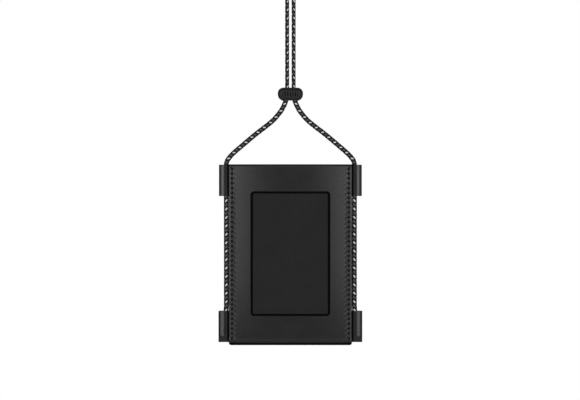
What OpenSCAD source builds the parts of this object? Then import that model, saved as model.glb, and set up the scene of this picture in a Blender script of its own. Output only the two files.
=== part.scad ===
// Neck pouch wallet: a flat leather pouch with a window, hung in four side loops on one braided
// cord that runs up through a sliding bead. Millimetres, +Z up, the front faces -Y.
// The origin is the inside top of the cord's bight, where a peg or a neck carries it.

/* [Pouch] */
// Width over the two side seams
pouch_w = 98.4; // [92:0.2:106]
// Height from the bottom fold to the top edge
pouch_h = 144.6; // [135:0.2:155]
// Thickness of the outer leather
leather_t = 1.3; // [1.0:0.1:1.6]
// Thickness of the divider between the window and the main pocket
divider_t = 0.8; // [0.6:0.1:1.0]
// How far each side stands out between its seams
bulge = 4.5; // [3.5:0.1:6]
// Share of that bulge which the divider follows
divider_follow = 0.78; // [0.6:0.02:0.85]
// Width of the flat margin that is sewn
seam_w = 5; // [4.6:0.1:6]
// Radius of the two bottom corners
corner_r = 2; // [0.5:0.1:4]
// Bevel on the cut side edges
edge_bevel = 0.4; // [0.2:0.05:0.6]
// Height over which the pouch closes to its bottom fold
fold_h = 26; // [15:1:35]

/* [Window] */
// Width of the window
window_w = 63.4; // [50:0.2:70]
// Height of the window
window_h = 99.4; // [80:0.2:105]
// Radius of the window's corners
window_r = 2.8; // [1:0.1:6]
// Distance from the top edge down to the window
window_drop = 21.7; // [15:0.1:30]

/* [Stitching] */
// Number of stitch holes down each seam
stitch_count = 36; // [20:1:36]
// Distance between two stitch holes
stitch_pitch = 3.875; // [3:0.005:3.875]
// Distance from the side edge in to the stitch line
stitch_inset = 2.4; // [2:0.1:2.8]
// Thickness of the waxed thread
thread_d = 0.8; // [0.6:0.05:0.9]
// Slant of each stitch, in degrees
stitch_slant = 8; // [0:1:9]

/* [Side loops] */
// Height of each leather loop
loop_h = 25; // [18:0.5:28]
// Thickness of the strip round the cord
strip_t = 0.5; // [0.4:0.05:0.6]
// Thickness of its two tails, pared down inside the seam
tail_t = 0.45; // [0.3:0.05:0.5]
// How far an upper loop reaches out from the pouch's side
upper_reach = 7.9; // [6.5:0.1:9]
// How far a closed lower loop reaches out
lower_reach = 8.3; // [7.9:0.1:9]

/* [Cord] */
// Thickness of the cord where it is slack
cord_d = 3.8; // [3.4:0.1:3.8]
// Thickness of the two strands that are pulled tight above the bead
strand_d = 3.4; // [3.0:0.05:3.5]

/* [Bead] */
// Width of the bead
bead_w = 20.2; // [18:0.1:24]
// Height of the bead
bead_h = 10.7; // [10.2:0.1:13]
// Depth of the bead from front to back
bead_depth = 10.6; // [10.6:0.1:12]
// Rounding of its top edge
bead_top_r = 4.4; // [2:0.1:4.8]
// Rounding of its bottom edge
bead_low_r = 5.3; // [3:0.1:5.3]
// Diameter of its two bores
bore_d = 4.2; // [3.7:0.05:4.3]
// Number of grip grooves on its front and on its back
groove_count = 7; // [3:2:7]

/* [Hidden] */

leather = [0.16, 0.16, 0.16];
lining = [0.11, 0.11, 0.11];
waxed = [0.05, 0.05, 0.05];
braid = [0.30, 0.30, 0.30];
rubbery = [0.20, 0.20, 0.21];

$fn = 64;
eps = 0.02;

// Half of the cord's route as [x, z] points, from the top of the bight down to the knot.
// The first stretch is the bight and the two tight strands, the bead and the spread to the loops.
neck_route = [
    [0, 1.9], [4.1, 1.2], [7.7, -0.9], [10.4, -4.1], [11.8, -8], [11.8, -12.2], [10.4, -16.1],
    [7.4, -21.3], [4.5, -26.3], [2.9, -30.5], [2.6, -34.5], [2.6, -66], [2.6, -98], [2.6, -130],
    [2.7, -135], [3.1, -139], [3.9, -141.6], [7, -148], [10, -152], [13.5, -156], [18.2, -160],
    [28.5, -168], [38, -176], [42.7, -180], [47, -184], [48.8, -186.1]];
// The second stretch starts where the cord bends above the upper loop, and ends in the knot.
side_route = [
    [50.2, -188], [51.1, -190.5], [51.2, -192.8], [51.2, -250], [51.2, -290], [51.4, -308],
    [52.6, -315], [53.2, -321.5]];
cord_sides = 8;
strand_low = -135;
spread_top = -139;
dome_steps = [30, 60, 85];

// Places down the pouch
pouch_top = -191.5;
pouch_low = pouch_top - pouch_h;
half_w = pouch_w / 2;
swell_x = half_w - seam_w;
swell_steps = 12;
fold_steps = 6;
seam_in = divider_t / 2;
seam_out = seam_in + leather_t;
divider_bulge = bulge * divider_follow;
beyond = 20;

// Stitch line, with its holes counted down from the top
stitch_x = half_w - stitch_inset;
first_hole = pouch_top - 3.7;
thread_r = thread_d / 2;
hole_r = thread_r + 0.05;
thread_sunk = 0.1;
thread_y = seam_out - thread_sunk;
groove_half = hole_r + tan(stitch_slant) * stitch_pitch / 2;
groove_depth = thread_r + thread_sunk;

// Loops, measured out from the seam's edge
edge_gap = 0.05;
cord_r = cord_d / 2;
loop_bore_r = cord_r + 0.04;
side_x = side_route[3][0];
fold_r = 0.8;
fold_x = half_w + upper_reach - fold_r;
tube_r = lower_reach / 2 - edge_gap / 2;
tube_x = half_w + edge_gap + tube_r;
tail_in = swell_x + 0.1;
tail_out = half_w + 0.5;
upper_z = pouch_top - 0.3 - loop_h;
lower_z = pouch_low + 2.5;
pinch_h = 3.6;
pinched_half = strip_t + 0.1;

// Knot that fills the closed lower loop, under the last point of the cord
knot_r = tube_r - strip_t - 0.5;
knot_h = 8.4;
knot_flat = 0.6;
knot_top = side_route[7][1];

// Bead
bead_z = -135.5;
bore_x = 2.8;
flare_r = 3.0;
flare_h = 3.4;
groove_pitch = 2;
groove_w = 0.8;
groove_h = 3.4;
groove_cut = 0.5;

function reversed(list) = [for (i = [len(list) - 1 : -1 : 0]) list[i]];
function swell(u) = max(0, 1 - u * u);
function unit(v) = v / norm(v);

// Edge of one side of the pouch seen from above: how far it stands out at each x
function side_edge(half_t, rise) =
    [for (i = [-swell_steps : swell_steps])
        let (u = i / swell_steps) [u * swell_x, half_t + rise * swell(u)]];
function flipped(list) = [for (p = list) [p[0], -p[1]]];

// Edge of one side of the pouch seen from its end: it swells upwards out of the bottom fold
function end_edge(half_t, rise, low) =
    concat([for (i = [0 : fold_steps])
               let (a = 90 * i / fold_steps)
               [half_t + rise * sin(a), low + fold_h * (1 - cos(a))]],
           [[half_t + rise, pouch_top + eps]]);

// A ring of the swept tube, at [x, z] with the direction it runs in, and its radius
function ring(at, along, r) =
    let (n = [-along[1], along[0]])
    [for (k = [0 : cord_sides - 1])
        let (a = 360 * k / cord_sides)
        [at[0] + r * cos(a) * n[0], r * sin(a), at[1] + r * cos(a) * n[1]]];
function direction(route, i) =
    unit(route[min(i + 1, len(route) - 1)] - route[max(i - 1, 0)]);
function strand_share(z) = min(1, max(0, (z - spread_top) / (strand_low - spread_top)));
function cord_radius(z) = (cord_d + (strand_d - cord_d) * strand_share(z)) / 2;
function mirrored(route) = [for (p = route) [-p[0], p[1]]];

// One closed tube through a list of rings
module tube(rings) {
    last = len(rings) - 1;
    points = [for (r = rings) for (p = r) p];
    walls = [for (i = [0 : last - 1]) for (k = [0 : cord_sides - 1])
        let (a = i * cord_sides + k, b = i * cord_sides + (k + 1) % cord_sides)
        for (t = [[a, b, b + cord_sides], [a, b + cord_sides, a + cord_sides]]) t];
    first_cap = [for (k = [cord_sides - 1 : -1 : 0]) k];
    last_cap = [for (k = [0 : cord_sides - 1]) last * cord_sides + k];
    polyhedron(points, concat(walls, [first_cap, last_cap]));
}

// Extrudes an outline drawn in [y, z] across the pouch
module across(width) {
    translate([-width / 2, 0, 0]) rotate([90, 0, 90]) linear_extrude(width) children();
}

// Extrudes an outline drawn in [x, z] from front to back
module through(front, back) {
    translate([0, back, 0]) rotate([90, 0, 0]) linear_extrude(back - front) children();
}

// Outline of the pouch from above, open to its full width at the seams
module plan(half_t, rise, half_width, bevel) {
    edge = side_edge(half_t, rise);
    polygon(concat([[-half_width, bevel - half_t], [bevel - half_width, -half_t]],
                   flipped(edge),
                   [[half_width - bevel, -half_t], [half_width, bevel - half_t],
                    [half_width, half_t - bevel], [half_width - bevel, half_t]],
                   reversed(edge),
                   [[bevel - half_width, half_t], [-half_width, half_t - bevel]]));
}

// Outline of the pouch from its end
module end(half_t, rise, low) {
    edge = end_edge(half_t, rise, low);
    polygon(concat(edge, reversed([for (p = edge) [-p[0], p[1]]])));
}

// The pillow that both the outer leather and the space inside it follow
module pillow(half_t, rise, half_width, low, bevel) {
    intersection() {
        translate([0, 0, pouch_low - 1]) linear_extrude(pouch_h + 1 + eps)
            plan(half_t, rise, half_width, bevel);
        across(2 * half_width + 2) end(half_t, rise, low);
    }
}

module rounded_window() {
    x = window_w / 2 - window_r;
    z = window_h / 2 - window_r;
    translate([0, pouch_top - window_drop - window_h / 2]) {
        square([window_w, 2 * z], center = true);
        square([2 * x, window_h], center = true);
        for (i = [-x, x]) for (j = [-z, z]) translate([i, j]) circle(window_r);
    }
}

// What is cut off to round one bottom corner
module corner_cut() {
    translate([half_w - corner_r, pouch_low + corner_r]) difference() {
        translate([0, -corner_r - 1]) square([corner_r + 1, corner_r + 1]);
        circle(corner_r);
    }
}

module stitch_holes(side) {
    for (i = [0 : stitch_count - 1])
        translate([side * stitch_x, 0, first_hole - i * stitch_pitch])
            rotate([90, 0, 0]) cylinder(h = 2 * beyond, r = hole_r, center = true, $fn = 16);
}

// The groove that one row of stitches lies in, on both faces
module stitch_groove(side) {
    length = (stitch_count - 1) * stitch_pitch + 2 * hole_r;
    for (face = [-1, 1])
        translate([side * stitch_x, face * (seam_out - groove_depth + beyond / 2),
                   first_hole + hole_r - length / 2])
            cube([2 * groove_half, beyond, length], center = true);
}

module tail_pockets(side) {
    for (z = [upper_z, lower_z])
        translate([side > 0 ? tail_in : -half_w - 1, -seam_in - tail_t, z])
            cube([half_w + 1 - tail_in, 2 * (seam_in + tail_t), loop_h]);
}

module pouch_shell() {
    color(leather) difference() {
        pillow(seam_out, bulge, half_w, pouch_low, edge_bevel);
        pillow(seam_in, bulge, half_w + 1, pouch_low + leather_t, 0);
        through(-beyond, -seam_in) rounded_window();
        for (side = [-1, 1]) {
            tail_pockets(side);
            stitch_holes(side);
            stitch_groove(side);
            through(-beyond, beyond) scale_x(side) corner_cut();
        }
    }
}

module scale_x(side) {
    if (side > 0) children();
    else mirror([1, 0]) children();
}

module divider() {
    low = pouch_low + leather_t;
    front = side_edge(seam_in, divider_bulge);
    back = side_edge(-seam_in, divider_bulge);
    rise = end_edge(seam_in, divider_bulge, low);
    fall = end_edge(-seam_in, divider_bulge, low);
    color(lining) difference() {
        intersection() {
            translate([0, 0, low]) linear_extrude(pouch_top - low)
                polygon(concat([[-half_w, -seam_in]], flipped(front),
                               [[half_w, -seam_in], [half_w, seam_in], [-half_w, seam_in]]));
            across(2 * half_w) polygon(concat([for (p = rise) [-p[0], p[1]]],
                                              [[seam_in, pouch_top + eps], [seam_in, low]]));
        }
        intersection() {
            translate([0, 0, low - 1]) linear_extrude(pouch_h)
                polygon(concat(flipped(back), [[swell_x, beyond], [-swell_x, beyond]]));
            across(2 * swell_x) polygon(concat([for (p = fall) [-p[0], p[1]]],
                                               [[beyond, pouch_top + eps], [beyond, low]]));
        }
        for (side = [-1, 1]) {
            stitch_holes(side);
            through(-beyond, beyond) scale_x(side) corner_cut();
        }
    }
}

// Outline of a round hold on the cord, with the strip's flat fold outside it
module keyhole(hold_r, fold_half) {
    translate([side_x, 0]) circle(hold_r);
    translate([side_x, -fold_half]) square([fold_x - side_x, 2 * fold_half]);
    translate([fold_x, 0]) circle(fold_half);
}

// The strip's two tails, either side of the divider inside the seam
module tails() {
    for (face = [-1, 1])
        translate([tail_in, face * (seam_in + tail_t / 2) - tail_t / 2])
            square([tail_out - tail_in, tail_t]);
}

// The space that the seam's edge and the divider take from a loop
module seam_clearance() {
    translate([tail_in, -seam_in]) square([half_w + 2 - tail_in, divider_t]);
    for (face = [-1, 1])
        translate([tail_in, face * (seam_in + tail_t + beyond / 2) - beyond / 2])
            square([half_w + edge_gap - tail_in, beyond]);
}

module upper_section() {
    difference() {
        union() {
            keyhole(loop_bore_r + strip_t, fold_r);
            tails();
        }
        keyhole(loop_bore_r, fold_r - strip_t);
        seam_clearance();
    }
}

module upper_loop(side) {
    color(leather) mirror([side > 0 ? 0 : 1, 0, 0]) difference() {
        translate([0, 0, upper_z]) linear_extrude(loop_h) upper_section();
        stitch_holes(1);
    }
}

module lower_section(r) {
    translate([tube_x, 0]) circle(r);
}

// Outline of a lower loop from its end: full height, then pinched flat at the bottom
module pinched(half_full, half_flat, low) {
    polygon([[-half_flat, low], [half_flat, low], [half_full, low + pinch_h],
             [half_full, lower_z + loop_h + 1], [-half_full, lower_z + loop_h + 1],
             [-half_full, low + pinch_h]]);
}

module lower_loop(side) {
    inner_r = tube_r - strip_t;
    color(leather) mirror([side > 0 ? 0 : 1, 0, 0]) difference() {
        union() {
            intersection() {
                translate([0, 0, lower_z]) linear_extrude(loop_h) lower_section(tube_r);
                across(3 * pouch_w) pinched(tube_r, pinched_half, lower_z);
            }
            translate([0, 0, lower_z]) linear_extrude(loop_h) tails();
        }
        intersection() {
            translate([0, 0, lower_z + strip_t]) linear_extrude(loop_h) lower_section(inner_r);
            across(3 * pouch_w) pinched(inner_r, pinched_half - strip_t, lower_z + strip_t);
        }
        translate([0, 0, lower_z - 1]) linear_extrude(loop_h + 2) seam_clearance();
        stitch_holes(1);
    }
}

// One seam's thread: a stitch between each two holes on both faces, joined through the leather
module stitching(side) {
    stitch_l = stitch_pitch / cos(stitch_slant);
    color(waxed) for (i = [0 : stitch_count - 1])
        translate([side * stitch_x, 0, first_hole - i * stitch_pitch]) {
            rotate([90, 0, 0]) cylinder(h = 2 * thread_y, r = thread_r, center = true, $fn = 16);
            for (face = [-1, 1]) translate([0, face * thread_y, 0]) {
                sphere(thread_r, $fn = 16);
                if (i < stitch_count - 1) translate([0, 0, -stitch_pitch / 2])
                    rotate([0, side * stitch_slant, 0])
                        cylinder(h = stitch_l - thread_r, r = thread_r, center = true, $fn = 16);
            }
        }
}

module neck_cord() {
    route = concat(reversed(mirrored(neck_route)), [for (i = [1 : len(neck_route) - 1])
        neck_route[i]]);
    color(braid) tube([for (i = [0 : len(route) - 1])
        ring(route[i], direction(route, i), cord_radius(route[i][1]))]);
}

// The cord below the bend, with a round end on the bend's own axis
module side_cord(side) {
    route = side > 0 ? side_route : mirrored(side_route);
    start = direction(route, 0);
    dome = [for (a = reversed(dome_steps))
        ring(route[0] - start * cord_r * sin(a), start, cord_r * cos(a))];
    color(braid) tube(concat(dome, [for (i = [0 : len(route) - 1])
        ring(route[i], i == len(route) - 1 ? [0, -1] : direction(route, i), cord_r)]));
}

module cord_knot(side) {
    color(braid) translate([side * tube_x, 0, knot_top + knot_flat - knot_h]) rotate_extrude()
        intersection() {
            union() {
                translate([0, knot_r]) square([knot_r, knot_h - 2 * knot_r]);
                translate([0, knot_r]) circle(knot_r);
                translate([0, knot_h - knot_r]) circle(knot_r);
            }
            square([knot_r, knot_h - knot_flat]);
        }
}

// Half of the bead's outline, from its middle line to its front
module bead_outline() {
    half = bead_depth / 2;
    intersection() {
        union() {
            translate([half - bead_low_r, bead_low_r - bead_h / 2]) circle(bead_low_r);
            translate([half - bead_top_r, bead_h / 2 - bead_top_r]) circle(bead_top_r);
            translate([0, bead_low_r - bead_h / 2])
                square([half, bead_h - bead_low_r - bead_top_r]);
            translate([0, -bead_h / 2]) square([half - bead_low_r + eps, bead_h]);
            square([half - bead_top_r, bead_h / 2]);
        }
        translate([0, -bead_h / 2]) square([half, bead_h]);
    }
}

module cord_bead() {
    run = bead_w - bead_depth;
    color(rubbery) translate([0, 0, bead_z]) difference() {
        union() {
            for (x = [-run / 2, run / 2]) translate([x, 0, 0]) rotate_extrude() bead_outline();
            across(run) {
                bead_outline();
                mirror([1, 0]) bead_outline();
            }
        }
        for (x = [-bore_x, bore_x]) translate([x, 0, 0]) {
            cylinder(h = bead_h + 2, d = bore_d, center = true);
            translate([0, 0, -bead_h / 2]) cylinder(h = flare_h, r1 = flare_r, r2 = bore_d / 2);
            translate([0, 0, -bead_h / 2 - 1]) cylinder(h = 1 + eps, r = flare_r);
        }
        for (i = [0 : groove_count - 1]) for (face = [-1, 1])
            translate([(i - (groove_count - 1) / 2) * groove_pitch,
                       face * (bead_depth / 2 + beyond / 2 - groove_cut), 0])
                cube([groove_w, beyond, groove_h], center = true);
    }
}

pouch_shell();
divider();
upper_loop(-1);  // upper_left_loop
upper_loop(1);  // upper_right_loop
lower_loop(-1);  // lower_left_loop
lower_loop(1);  // lower_right_loop
stitching(-1);  // left_stitching
stitching(1);  // right_stitching
neck_cord();
side_cord(-1);  // left_side_cord
side_cord(1);  // right_side_cord
cord_knot(-1);  // left_cord_knot
cord_knot(1);  // right_cord_knot
cord_bead();
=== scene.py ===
"""Neck pouch wallet: the visual model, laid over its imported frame. Metres, +Z up, front to -Y."""

import math

import bmesh
import bpy
import numpy as np
from bpy.props import FloatProperty, FloatVectorProperty, IntProperty, PointerProperty
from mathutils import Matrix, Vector


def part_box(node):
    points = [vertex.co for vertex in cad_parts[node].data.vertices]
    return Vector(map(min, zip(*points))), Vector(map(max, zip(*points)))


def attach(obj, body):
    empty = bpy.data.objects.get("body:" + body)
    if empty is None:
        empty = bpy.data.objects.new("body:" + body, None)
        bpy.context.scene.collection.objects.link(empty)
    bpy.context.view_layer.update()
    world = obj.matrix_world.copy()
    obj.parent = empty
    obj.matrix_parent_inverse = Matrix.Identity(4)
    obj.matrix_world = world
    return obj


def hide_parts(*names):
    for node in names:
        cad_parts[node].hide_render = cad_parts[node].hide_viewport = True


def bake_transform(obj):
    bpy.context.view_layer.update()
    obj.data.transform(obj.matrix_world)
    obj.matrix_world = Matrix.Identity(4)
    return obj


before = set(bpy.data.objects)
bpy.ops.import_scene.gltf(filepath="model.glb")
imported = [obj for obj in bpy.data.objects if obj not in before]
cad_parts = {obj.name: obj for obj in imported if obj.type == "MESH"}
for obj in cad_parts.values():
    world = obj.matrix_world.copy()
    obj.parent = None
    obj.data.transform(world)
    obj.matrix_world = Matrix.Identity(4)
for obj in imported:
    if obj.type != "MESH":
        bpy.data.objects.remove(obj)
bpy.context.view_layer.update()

bl_info = {
    "name": "Neck pouch wallet",
    "version": (1, 0, 0),
    "blender": (4, 5, 0),
    "location": "View3D > Sidebar > Wallet",
    "description": "Sews, braids and finishes a leather neck pouch on its packed frame",
    "category": "Add Mesh",
}

MM = 0.001
shell_low, shell_high = (Vector(corner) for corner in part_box("pouch_shell"))
bead_low, bead_high = (Vector(corner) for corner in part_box("cord_bead"))
upper_low, upper_high = (Vector(corner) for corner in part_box("upper_right_loop"))
lower_low, lower_high = (Vector(corner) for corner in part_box("lower_right_loop"))
knot_low, knot_high = (Vector(corner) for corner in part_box("right_cord_knot"))

# Half of the cord's route as [x, z] in metres, from the top of the bight down to the knot.
NECK_ROUTE = [
    [0, 0.0019], [0.0041, 0.0012], [0.0077, -0.0009], [0.0104, -0.0041], [0.0118, -0.008],
    [0.0118, -0.0122], [0.0104, -0.0161], [0.0074, -0.0213], [0.0045, -0.0263],
    [0.0029, -0.0305], [0.0026, -0.0345], [0.0026, -0.066], [0.0026, -0.098], [0.0026, -0.13],
    [0.0027, -0.135], [0.0031, -0.139], [0.0039, -0.1416], [0.007, -0.148], [0.01, -0.152],
    [0.0135, -0.156], [0.0182, -0.16], [0.0285, -0.168], [0.038, -0.176], [0.0427, -0.18],
    [0.047, -0.184], [0.0488, -0.1861],
]
SIDE_ROUTE = [
    [0.0502, -0.188], [0.0511, -0.1905], [0.0512, -0.1928], [0.0512, -0.25], [0.0512, -0.29],
    [0.0514, -0.308], [0.0526, -0.315], [0.0532, -0.3215],
]

# How many times a yarn has wound round the cord at each distance in metres from the bight.
YARN_TURNS = [[0, 0], [0.1412, 10.36], [0.152, 11.09], [0.217, 16.25], [0.242, 18.07],
              [0.3527, 26.29]]

SIDES = (("left", -1), ("right", 1))


def length(name, description, millimetres):
    """A size that the user can change, with its default in millimetres."""
    return FloatProperty(name=name, description=description, default=millimetres * MM,
                         unit="LENGTH", precision=5)


def tint(name, description, rgb):
    """A colour that the user can change."""
    return FloatVectorProperty(name=name, description=description, default=rgb,
                               subtype="COLOR", min=0, max=1)


class PouchSettings(bpy.types.PropertyGroup):
    leather_t: length("Leather", "Thickness of the outer leather", 1.3)
    divider_t: length("Divider", "Thickness of the divider behind the window", 0.8)
    seam_w: length("Seam margin", "Width of the margin that is sewn", 5)
    swell_from: length("Swell", "Distance from the side edge in to where the pouch swells", 2.4)
    fold_h: length("Fold height", "Height over which the bottom turns under", 2.2)
    fill_h: length("Filling height", "Height over which the pouch reaches its full bulge", 75)
    divider_follow: FloatProperty(
        name="Divider follow", description="Share of the front's bulge that the divider follows",
        default=0.78, min=0.6, max=0.85)
    corner_r: length("Bottom corners", "Radius of the two bottom corners", 2)
    window_w: length("Window width", "Width of the window", 63.4)
    window_h: length("Window height", "Height of the window", 99.4)
    window_r: length("Window corners", "Radius of the window's corners", 2.8)
    window_drop: length("Window drop", "Distance from the top edge down to the window", 21.7)
    leather: tint("Leather colour", "Colour of the dyed leather", (0.0078, 0.0078, 0.0078))
    lining: tint("Divider colour", "Colour of the divider's matt face", (0.0115, 0.0115, 0.0115))


class StitchSettings(bpy.types.PropertyGroup):
    count: IntProperty(
        name="Holes", description="Number of stitch holes down each seam", default=36)
    pitch: length("Pitch", "Distance between two stitch holes", 3.875)
    inset: length("Inset", "Distance from the side edge in to the stitch line", 2.4)
    first: length("First hole", "Distance from the top edge down to the first hole", 3.7)
    thread_d: length("Thread", "Thickness of the waxed thread", 0.8)
    hole_mm: FloatProperty(
        name="Hole", description="Radius of the dent round a stitch hole, in millimetres",
        default=0.78)
    slant: FloatProperty(
        name="Slant", description="Slant of each stitch",
        default=math.radians(8), subtype="ANGLE")
    colour: tint("Thread colour", "Colour of the waxed thread", (0.011, 0.011, 0.011))


class LoopSettings(bpy.types.PropertyGroup):
    strip_t: length("Strip", "Thickness of the leather strip round the cord", 0.45)
    # The darkened strip is painted shade in the crevice.
    crevice: length("Crevice", "Width of the darkened strip where a loop enters its seam", 1)
    pinch_h: length("Pinch", "Height of the pinched end of a lower loop", 3.6)


class CordSettings(bpy.types.PropertyGroup):
    slack_d: length("Cord", "Thickness of the cord where it is slack", 3.8)
    tight_d: length("Tight strands", "Thickness of the two strands above the bead", 3.4)
    yarns: IntProperty(
        name="Yarns", description="Number of yarns that wind in each direction", default=8)
    groove: length("Braid depth", "Depth of the valleys between the yarns", 0.26)
    black: tint("Ground colour", "Colour of the black yarns", (0.003, 0.003, 0.003))
    grey: tint("Second tracer", "Colour of the grey yarns", (0.10, 0.10, 0.10))
    white: tint("First tracer", "Colour of the white yarns", (0.72, 0.72, 0.70))


class BeadSettings(bpy.types.PropertyGroup):
    top_r: length("Top rounding", "Rounding of the bead's top edge", 4.4)
    low_r: length("Bottom rounding", "Rounding of the bead's bottom edge", 5.2)
    bore_x: length("Bore offset", "Distance of each bore from the bead's middle", 2.8)
    bore_d: length("Bore", "Diameter of the two bores", 4.2)
    flare_r: length("Flare", "Radius of each bore's flared mouth", 3)
    flare_h: length("Flare height", "Height of each bore's flared mouth", 3.4)
    grooves: IntProperty(
        name="Grip grooves", description="Number of grip grooves on each face", default=7)
    groove_pitch: length("Groove pitch", "Distance between two grip grooves", 2)
    groove_w: length("Groove width", "Width of a grip groove", 0.8)
    groove_h: length("Groove height", "Height of a grip groove", 3.4)
    groove_cut: length("Groove depth", "Depth of a grip groove", 0.5)
    colour: tint("Bead colour", "Colour of the matt moulding", (0.013, 0.013, 0.014))


class StageSettings(bpy.types.PropertyGroup):
    distance: FloatProperty(
        name="Distance", description="Distance from the camera to the pouch",
        default=2.0, unit="LENGTH")
    aim: FloatVectorProperty(
        name="Aim", description="Point that the camera looks at",
        default=(-0.3 * MM, 0, -220 * MM), subtype="TRANSLATION")
    lens: FloatProperty(name="Lens", description="Focal length in millimetres", default=155.2)
    floor_z: FloatProperty(
        name="Floor", description="Height of the floor under the hanging pouch",
        default=-0.75, unit="LENGTH")
    side_power: FloatProperty(
        name="Side lights", description="Power of each softbox beside the camera",
        default=9.3, unit="POWER")
    back_power: FloatProperty(
        name="Back light", description="Power of the softbox behind the pouch",
        default=5, unit="POWER")
    ambient: FloatProperty(
        name="Ambient", description="Strength of the light from all round", default=0.1)


SETTINGS = {
    "wallet_pouch": PouchSettings,
    "wallet_stitches": StitchSettings,
    "wallet_loops": LoopSettings,
    "wallet_cord": CordSettings,
    "wallet_bead": BeadSettings,
    "wallet_stage": StageSettings,
}


# Bench work: short helpers that every piece uses

def deselect():
    if bpy.context.mode != "OBJECT":
        bpy.ops.object.mode_set(mode="OBJECT")
    bpy.ops.object.select_all(action="DESELECT")


def make_active(piece):
    deselect()
    piece.select_set(True)
    bpy.context.view_layer.objects.active = piece


def named(name):
    piece = bpy.context.object
    piece.name = piece.data.name = name
    return piece


def settle(piece):
    """Puts the piece's place, turn and size into its mesh."""
    make_active(piece)
    bpy.ops.object.transform_apply(location=True, rotation=True, scale=True)


def points_of(piece):
    places = np.empty(len(piece.data.vertices) * 3)
    piece.data.vertices.foreach_get("co", places)
    return places.reshape(-1, 3)


def move_points(piece, places):
    piece.data.vertices.foreach_set("co", np.ascontiguousarray(places).ravel())
    piece.data.update()


def apply_modifier(piece, kind, **settings):
    make_active(piece)
    modifier = piece.modifiers.new(kind.title(), kind)
    for name, value in settings.items():
        setattr(modifier, name, value)
    bpy.ops.object.modifier_apply(modifier=modifier.name)


def ease_edges(piece, width, degrees=60):
    """Rounds every edge that is sharper than the angle given."""
    apply_modifier(piece, "BEVEL", width=width, segments=2, limit_method="ANGLE",
                   angle_limit=math.radians(degrees))


def edit_selected(piece, element, chosen, work):
    """Selects the faces or edges that chosen says, and does the work on them in edit mode."""
    make_active(piece)
    bpy.ops.object.mode_set(mode="EDIT")
    bpy.ops.mesh.select_mode(type=element)
    bpy.ops.mesh.select_all(action="DESELECT")
    mesh = bmesh.from_edit_mesh(piece.data)
    for item in (mesh.faces if element == "FACE" else mesh.edges):
        item.select_set(bool(chosen(item)))
    bmesh.update_edit_mesh(piece.data)
    work()
    bpy.ops.object.mode_set(mode="OBJECT")


def span(edge, axis):
    """How far an edge runs along an axis: 0 for x, 1 for y, 2 for z."""
    return abs(edge.verts[0].co[axis] - edge.verts[1].co[axis])


def smooth_by_angle(piece, degrees):
    make_active(piece)
    bpy.ops.object.shade_smooth_by_angle(angle=math.radians(degrees))


def cut_away(piece, *cutters):
    """Takes the cutters' space out of the piece."""
    for cutter in cutters:
        apply_modifier(piece, "BOOLEAN", operation="DIFFERENCE", object=cutter, solver="MANIFOLD")
        bpy.data.objects.remove(cutter)


def joined(pieces):
    make_active(pieces[0])
    for piece in pieces:
        piece.select_set(True)
    bpy.ops.object.join()
    return bpy.context.object


def store(piece, name, values):
    """Keeps one number for each point of the piece, for its material to read."""
    attribute = piece.data.attributes.new(name, "FLOAT", "POINT")
    attribute.data.foreach_set("value", np.asarray(values, np.float32))


def finished(piece, body, slot, material, *nodes):
    """Gives a piece its finish, its body and the CAD nodes that it stands for."""
    piece.data.materials.clear()
    piece.data.materials.append(material)
    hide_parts(*nodes)
    if body:
        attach(piece, body)


def stations(stops, steps):
    """Places from stop to stop, spaced about as far apart as steps says."""
    places = [stops[0]]
    for start, end, step in zip(stops, stops[1:], steps):
        count = max(1, round(abs(end - start) / step))
        places += [start + (end - start) * k / count for k in range(1, count + 1)]
    return np.array(places)


def both_sides(half):
    """Places on the right of the middle, with their mirror images on its left."""
    return np.concatenate([-half[:0:-1], half])


def flat_sheet(name, columns, rows):
    """A flat sheet on the bench, with its grid lines at the places given."""
    deselect()
    bpy.ops.mesh.primitive_grid_add(
        x_subdivisions=len(columns) - 1, y_subdivisions=len(rows) - 1, size=1)
    sheet = named(name)
    across, along = np.meshgrid(columns, rows)
    move_points(sheet, np.stack([across.ravel(), along.ravel(), np.zeros(across.size)], axis=1))
    return sheet


def turn_outwards(sheet, outwards):
    """Flips the sheet's faces if its first one looks away from the way that outwards says."""
    face = sheet.data.polygons[0]
    if face.normal.dot(outwards(face.center)) < 0:
        make_active(sheet)
        bpy.ops.object.mode_set(mode="EDIT")
        bpy.ops.mesh.select_all(action="SELECT")
        bpy.ops.mesh.flip_normals()
        bpy.ops.object.mode_set(mode="OBJECT")


def smooth_step(values, start, end):
    share = np.clip((values - start) / (end - start), 0, 1)
    return share * share * (3 - 2 * share)


# Materials

SOCKETS = {"rough": "Roughness", "gloss": "Specular IOR Level", "ior": "IOR",
           "sheen": "Sheen Weight"}


def new_material(name):
    """A material with its node tree and its shader."""
    material = bpy.data.materials.new(name)
    material.use_nodes = True
    return material, material.node_tree, material.node_tree.nodes["Principled BSDF"]


def finish_with(tree, shader, base, normal, **values):
    """Links a shader's colour and relief, and sets its other values."""
    tree.links.new(base, shader.inputs["Base Color"])
    if normal:
        tree.links.new(normal, shader.inputs["Normal"])
    for name, value in values.items():
        shader.inputs[SOCKETS[name]].default_value = value


def add_node(tree, kind, inputs=None, **settings):
    node = tree.nodes.new(kind)
    for name, value in settings.items():
        setattr(node, name, value)
    for socket, value in (inputs or {}).items():
        if isinstance(value, bpy.types.NodeSocket):
            tree.links.new(value, node.inputs[socket])
        else:
            node.inputs[socket].default_value = value
    return node


def math_of(tree, operation, *values):
    return add_node(tree, "ShaderNodeMath", dict(enumerate(values)),
                    operation=operation).outputs[0]


def mapped(tree, value, low, high, to_low, to_high):
    inputs = {"Value": value, "From Min": low, "From Max": high, "To Min": to_low,
              "To Max": to_high}
    return add_node(tree, "ShaderNodeMapRange", inputs,
                    interpolation_type="SMOOTHSTEP").outputs[0]


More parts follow.
